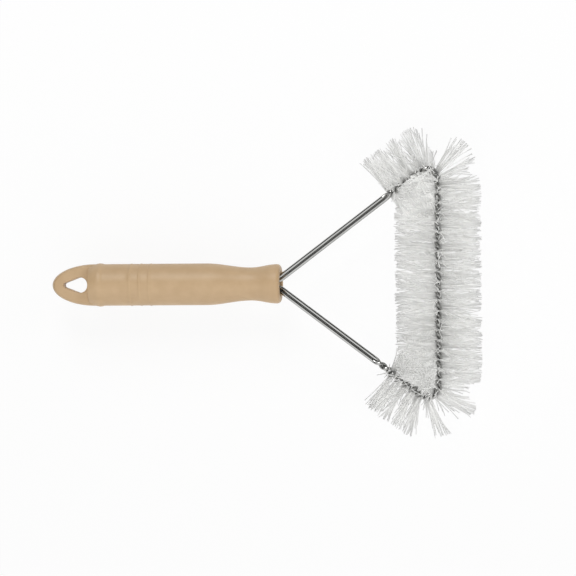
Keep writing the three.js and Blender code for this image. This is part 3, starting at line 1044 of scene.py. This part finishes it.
@dataclass
class FilamentHead:
    """Nylon filaments that stand out of both edges of the strip between the wires.

    Sizes are in millimetres.

    Attributes:
        pair: Line and twist of the wires.
        reach: Distance of the cut tips from the line.
        per_mm: Filaments in a millimetre of each edge of the strip.
        thickness: Diameter of a filament.
        root: Distance from the line at which a filament starts.
        strip: Half the thickness of the strip that the roots lie in.
        root_scatter: Scatter of a filament's slope at its root.
        splay: Further scatter about the line, where filaments stand square to the brush's plane.
        comb: Slope by which filaments lean back along the line round the corners.
        comb_runs: Lengths along the line over which that lean comes and goes at the two corners.
        comb_shift: How far past the lower corner's middle its lean is greatest.
        bend: Scatter of its bend along and about the line, as shares of its length.
        lock: Mean width of the locks that neighbours gather in.
        lock_bend: Scatter of the bend of a whole lock.
        lock_pull: Share by which the tips of a lock close up.
        trim: Scatter of the tips short of the cut, strand by strand and lock by lock.
        tint: Length of the strip's edge over which filaments share a tint.
        tint_weight: Weight of that tint against a filament's own.
        taper: Share of its thickness that a filament loses towards its tip.
        jitter: Scatter of the roots along the strip.
        shortest: Length under which a filament between two runs is left out.
        wire_clearance: Depth at which a filament passes under the wires of another run.
        stop: Share of the way to those wires at which a filament that would meet them ends.
        stations: Rings along a filament.
        sides: Sides of a filament.
        seed: Seed of all that is scattered.
    """

    pair: TwistedPair
    reach: float
    per_mm: float = 12.0
    thickness: float = 0.6
    root: float = 0.9
    strip: float = 0.14
    root_scatter: float = 0.035
    splay: float = 0.24
    comb: float = 0.4
    comb_runs: Span = (8.0, 12.0)
    comb_shift: float = 3.5
    bend: Span = (0.08, 0.07)
    lock: float = 1.1
    lock_bend: Span = (0.045, 0.08)
    lock_pull: float = 0.1
    trim: Span = (0.4, 0.55)
    tint: float = 0.45
    tint_weight: float = 2.0
    taper: float = 0.12
    jitter: float = 0.3
    shortest: float = 14.0
    wire_clearance: float = 2.9
    stop: float = 0.9
    stations: int = 5
    sides: int = 3
    seed: int = 11

    STRAND = "strand"
    PARALLEL = 1e-6

    scatter: np.random.Generator = field(init=False)

    def __post_init__(self) -> None:
        """Starts the scatter from its seed."""
        self.scatter = np.random.default_rng(self.seed)

    def run_ends(self) -> Array:
        """Ends of the three straight runs that other filaments have to pass.

        Returns:
            A pair of points in plan for each run.
        """
        pair = self.pair
        apex = np.array([[pair.bar_x, pair.corner_y], [pair.bar_x, -pair.corner_y]])
        foot_y = pair.corner_y - (pair.bar_x - pair.mouth_x) * math.tan(pair.arm_angle)
        foot = np.array([[pair.mouth_x, foot_y], [pair.mouth_x, -foot_y]])
        return np.array([[foot[0], apex[0]], [apex[0], apex[1]], [apex[1], foot[1]]])

    def round_corners(self, s: Array) -> Array:
        """Nearness exp(-(d / run)^2) to a corner, d along the line from its middle or from just past it."""
        places = np.array([self.pair.upper_corner, self.pair.lower_corner + self.comb_shift])
        return np.exp(-(((s[:, None] - places) / self.comb_runs) ** 2)).max(axis=1)

    def stop_short(self, root: Array, chord: Array, length: Array) -> Array:
        """Ends filaments before the wires of another run.

        In plan, a filament from p along d meets a run from a along b at t = cross(a - p, b) / cross(d, b)
        of its direction. Unless it passes well under the wires there, it ends a little before them.

        Args:
            root: Roots of the filaments.
            chord: Their unit directions from root to tip.
            length: Their lengths.

        Returns:
            The mended lengths.
        """
        clear = 2.0 * self.pair.wire_radius + self.root
        for start, end in self.run_ends():
            run = end - start
            gap = start - root[:, :2]
            turn = chord[:, 0] * run[1] - chord[:, 1] * run[0]
            turn = np.where(np.abs(turn) < self.PARALLEL, self.PARALLEL, turn)
            meet = (gap[:, 0] * run[1] - gap[:, 1] * run[0]) / turn
            share = (gap[:, 0] * chord[:, 1] - gap[:, 1] * chord[:, 0]) / turn
            crosses = (meet > clear) & (meet < length + self.wire_clearance)
            crosses &= (share > 0.0) & (share < 1.0)
            held = crosses & (chord[:, 2] * meet > -self.wire_clearance)
            length = np.where(held, np.minimum(length, self.stop * meet), length)
        return length

    def aim(self, s: Array, edge: Array) -> tuple[Array, Array, Array, Array]:
        """Roots, directions, lengths and bends of filaments.

        A filament leaves the wires along the twist, with a small scatter, and bends away from it towards
        its tip. Where it stands square to the brush's plane it splays further, which goes out as 1 - n^3
        with its nearness n to a corner. There, filaments close to the plane lean back along the line. Its
        own bend adds to that of the lock that it belongs to. In a lock the tips also close up, so a
        filament bends towards the lock's middle by a share of its distance from it.

        Args:
            s: Lengths along the line at which the filaments stand.
            edge: Edge of the strip that each stands out of, 1 or -1.

        Returns:
            Roots, unit directions, lengths and bends, as a share of the length.
        """
        count = len(s)
        draw = self.scatter
        point, along, across, out = self.pair.frame_at(s)
        ends = np.sort(draw.uniform(s.min(), s.max(), int(np.ptp(s) / self.lock)))
        ends = np.concatenate([[s.min()], ends, [s.max()]])
        lock = np.clip(np.searchsorted(ends, s) - 1, 0, len(ends) - 2)
        middle = (ends[:-1] + ends[1:]) / 2.0
        side = (edge > 0).astype(int)
        bend = draw.normal(0.0, self.lock_bend, (len(middle), 2, 2))[lock, side]
        bend = bend + draw.normal(0.0, self.bend, (count, 2))
        bend[:, 0] += self.lock_pull * (middle[lock] - s) / self.reach
        lean, roll = draw.normal(0.0, self.root_scatter, (2, count))
        corner = self.round_corners(s)
        roll += draw.normal(0.0, self.splay, count) * np.abs(out[:, 2]) * (1.0 - corner**3)
        lean -= self.comb * corner * (1.0 - out[:, 2] ** 2)
        upright = out * edge[:, None]
        direction = unit(upright + roll[:, None] * across + lean[:, None] * along)
        away = bend[:, :1] * along + bend[:, 1:] * across
        stretch = np.linalg.norm(direction + away, axis=-1)
        start = point + self.root * upright + draw.uniform(-self.strip, self.strip, count)[:, None] * across
        short = np.abs(draw.normal(0.0, self.trim[0], count))
        short += np.abs(draw.normal(0.0, self.trim[1], (len(middle), 2)))[lock, side]
        length = self.reach - self.root - short
        chord = (direction + away) / stretch[:, None]
        length = self.stop_short(start, chord, length)
        return start, direction, length / stretch, away

    def build(self, stretch: Stretch, start: float, end: float, finish: Material) -> Object:
        """Makes one stretch of filaments.

        A filament is a slim three-sided prism along the path root + length (t direction + t^2 bend), for t
        from 0 to 1, and it narrows a little to its cut tip.

        Args:
            stretch: Stretch of the strip.
            start: Length along the line at which it starts.
            end: Length along the line at which it ends.
            finish: Material of the filaments.

        Returns:
            The finished piece.
        """
        count = int(self.per_mm * (end - start))
        s = np.tile(np.linspace(start, end, count), 2)
        s = np.clip(s + self.scatter.normal(0.0, self.jitter, 2 * count), start, end)
        edge = np.repeat([1.0, -1.0], count)
        root, direction, length, bend = self.aim(s, edge)
        kept = length > self.shortest
        s, root, direction, length, bend = (a[kept] for a in (s, root, direction, length, bend))
        count = len(s)
        t = np.linspace(0.0, 1.0, self.stations)
        path = t[None, :, None] * direction[:, None] + (t**2)[None, :, None] * bend[:, None]
        path = root[:, None] + length[:, None, None] * path
        _, along, _, _ = self.pair.frame_at(s)
        first = unit(np.cross(direction, along))
        second = np.cross(direction, first)
        turned = self.scatter.uniform(0.0, np.pi, (count, 1))
        angle = 2.0 * np.pi * np.arange(self.sides) / self.sides + turned
        radius = self.thickness / 2.0 * (1.0 - self.taper * t)
        ring = np.cos(angle)[..., None] * first[:, None] + np.sin(angle)[..., None] * second[:, None]
        points = path[:, :, None] + radius[None, :, None, None] * ring[:, None]
        size = self.stations * self.sides
        offset = np.arange(count)[:, None, None] * size
        skin = (wrapped_grid(self.stations, self.sides)[None] + offset).reshape(-1, 4)
        foot = np.arange(self.sides)[::-1]
        caps = np.stack([foot, foot[::-1] + size - self.sides])
        caps = (caps[None] + offset).reshape(-1, self.sides)
        name = stretch.value.replace("bristles", "filaments")
        piece = make_piece(name, points.reshape(-1, 3), [skin, caps])
        own = self.scatter.uniform(0.0, 1.0, (count, 2))
        run = ((s - start) / self.tint).astype(int)
        shade = self.scatter.uniform(0.0, 1.0, (run.max() + 1, 2))[run, (edge[kept] > 0).astype(int)]
        own[:, 0] = (own[:, 0] + self.tint_weight * shade) / (1.0 + self.tint_weight)
        tag = np.empty((count, self.stations, self.sides, 3))
        tag[..., 0] = t[None, :, None]
        tag[..., 1:] = own[:, None, None, :]
        tag_points(piece, self.STRAND, tag.reshape(-1, 3))
        seat(piece, Slot.FILAMENT, finish, stretch.value)
        piece.visible_shadow = False
        return piece


@dataclass
class Studio:
    """Pale floor, soft lights and the camera, in metres.

    Attributes:
        floor_z: Height of the floor.
        aim: Point that the middle of the picture shows.
        distance: Distance of the camera from it.
        lean: Lean of the camera from straight above towards the head, in radians.
        turn: Turn of the object in the picture, in radians, anticlockwise.
        view_width: Width of what the picture shows at the aim.
        sensor: Width of the camera's sensor, in millimetres.
        sight: Distance up to which the camera sees.
        floor_size: Side of the square floor.
        floor_colour: Linear colour of the floor.
        floor_roughness: Roughness of the floor.
        floor_white: Share of plain white in what the camera sees of the floor.
        sky: Strength of the sky far from its bright patch and in it.
        sky_patch: Unit direction to the middle of the patch.
        sky_rise: Cosines of the angle to the patch between which the sky comes up.
        horizon: Strength at which the horizon shows, without lighting anything.
        horizon_fall: Heights of a unit direction between which that goes out.
    """

    floor_z: float
    aim: Place = (0.0126, -0.00247, 0.0)
    distance: float = 2.2
    lean: float = math.radians(7.0)
    turn: float = math.radians(0.38)
    view_width: float = 0.3304
    sensor: float = 36.0
    sight: float = 50.0
    floor_size: float = 12.0
    floor_colour: Colour = (0.9, 0.9, 0.9)
    floor_roughness: float = 0.9
    floor_white: float = 0.88
    sky: Span = (0.02, 1.27)
    sky_patch: Place = (0.0, -math.sin(math.radians(40.0)), math.cos(math.radians(40.0)))
    sky_rise: Span = (0.52, 0.78)
    horizon: float = 0.8
    horizon_fall: Span = (0.12, 0.38)

    def camera(self) -> None:
        """Sets the camera above the brush, with +X to the right and +Y up in the picture."""
        data = bpy.data.cameras.new("camera")
        data.sensor_width = self.sensor
        data.lens = self.sensor * self.distance / self.view_width
        data.clip_end = self.sight
        back = Vector((math.sin(self.lean), 0.0, math.cos(self.lean)))
        right = Vector((math.cos(self.lean), 0.0, -math.sin(self.lean)))
        up = back.cross(right)
        turned_right = right * math.cos(self.turn) - up * math.sin(self.turn)
        turned_up = right * math.sin(self.turn) + up * math.cos(self.turn)
        place = Vector(self.aim) + back * self.distance
        camera = bpy.data.objects.new("camera", data)
        axes = Matrix((turned_right, turned_up, back)).transposed().to_4x4()
        camera.matrix_world = Matrix.Translation(place) @ axes
        bpy.context.scene.collection.objects.link(camera)
        bpy.context.scene.camera = camera

    def softbox(self, name: str, place: Place, size: Span, power: float) -> Object:
        """Adds a soft rectangular lamp that faces the brush.

        Args:
            name: Name of the lamp.
            place: Place of its middle.
            size: Its two sides.
            power: Its power, in watts.

        Returns:
            The lamp.
        """
        data = bpy.data.lights.new(name, "AREA")
        data.shape = "RECTANGLE"
        data.size, data.size_y = size
        data.energy = power
        lamp = bpy.data.objects.new(name, data)
        lamp.location = place
        lamp.rotation_euler = (Vector(self.aim) - Vector(place)).to_track_quat("-Z", "Y").to_euler()
        bpy.context.scene.collection.objects.link(lamp)
        return lamp

    def world(self) -> None:
        """Sets a dim sky with one bright patch above the near side of the brush, and a pale horizon."""
        world = bpy.data.worlds.new("studio")
        world.use_nodes = True
        sky = Nodes(world.node_tree)
        way = sky.add("ShaderNodeTexCoord").outputs["Generated"]
        nearness = sky.reckon("DOT_PRODUCT", way, self.sky_patch, kind="ShaderNodeVectorMath")
        height = sky.add("ShaderNodeSeparateXYZ", Vector=way).outputs["Z"]
        light = sky.ramp(nearness, self.sky_rise, self.sky, "SMOOTHSTEP")
        pale = sky.ramp(height, self.horizon_fall, (self.horizon, 0.0), "SMOOTHSTEP")
        strength = sky.reckon("MULTIPLY_ADD", pale, sky.shown(), light)
        sky.fill(sky.tree.nodes["Background"], Color=(1.0, 1.0, 1.0), Strength=strength)
        bpy.context.scene.world = world

    def floor(self) -> None:
        """Lays a floor of which the camera and reflections see mostly plain white and a faint shadow."""
        half = self.floor_size / 2.0 / MM
        z = self.floor_z / MM
        points = np.array([[-half, -half, z], [half, -half, z], [half, half, z], [-half, half, z]])
        piece = make_piece("studio_floor", points, [np.array([[0, 1, 2, 3]])])
        sheet = Sheet("studio_white")
        matt = {"Roughness": self.floor_roughness, "Specular_IOR_Level": 0.0}
        sheet.fill(sheet.surface, Base_Color=self.floor_colour, **matt)
        white = sheet.reckon("MULTIPLY", sheet.shown(), self.floor_white)
        mix = sheet.add("ShaderNodeMixShader", Fac=white)
        sheet.feed(mix.inputs[1], sheet.surface.outputs["BSDF"])
        sheet.feed(mix.inputs[2], sheet.add("ShaderNodeEmission", Strength=1.0).outputs["Emission"])
        sheet.fill(sheet.output, Surface=mix.outputs["Shader"])
        dress(piece, sheet.material)

    def build(self) -> None:
        """Sets up the floor, the lights and the camera, with plain colours."""
        self.camera()
        self.floor()
        self.world()
        self.softbox("key_softbox", place=(-0.15, 1.0, 1.0), size=(0.5, 0.8), power=9.2)
        head_fill = self.softbox("head_fill", place=(1.2, 0.4, 0.8), size=(1.0, 0.8), power=5.0)
        head_fill.visible_glossy = False
        bpy.context.scene.view_settings.view_transform = "Standard"


def main() -> None:
    """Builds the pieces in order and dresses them."""
    logging.basicConfig(level=logging.INFO, format="%(name)s: %(message)s")
    handle_low, handle_high = box_mm("handle")
    wire_low, _ = box_mm("outer_core_wire")
    bar_low, bar_high = box_mm(Stretch.CROSSBAR.value)
    Studio(floor_z=CAD_BOX[0].z - FLOOR_GAP).build()
    plastic = MouldedPlastic("beige_moulded_plastic").material()
    _, _, bead_height = Handle.bead
    Handle(
        butt=handle_low[0],
        length=handle_high[0] - handle_low[0],
        grip=(handle_high[1] - handle_low[1]) / 2.0 - bead_height,
    ).build(plastic)
    dress(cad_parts["wire_wedge"], MouldedPlastic("wedge_plastic_grained").material())
    pair = TwistedPair(start_x=wire_low[0], mouth_x=handle_high[0], bar_x=(bar_low[0] + bar_high[0]) / 2.0)
    steel = BrightWire("bright_drawn_wire").material()
    wires = CoreWires(pair)
    wires.build(Side.OUTER, "outer_wire", "outer_core_wire", steel)
    wires.build(Side.INNER, "inner_wire", "inner_core_wire", steel)
    nylon = NylonFilament("white_nylon_filament").material()
    head = FilamentHead(pair, reach=(bar_high[0] - bar_low[0]) / 2.0)
    marks = (pair.bristle_start, pair.upper_corner, pair.lower_corner, pair.bristle_end)
    for stretch, start, end in zip(Stretch, marks, marks[1:]):
        head.build(stretch, start, end, nylon)


if __name__ == "__main__":
    main()
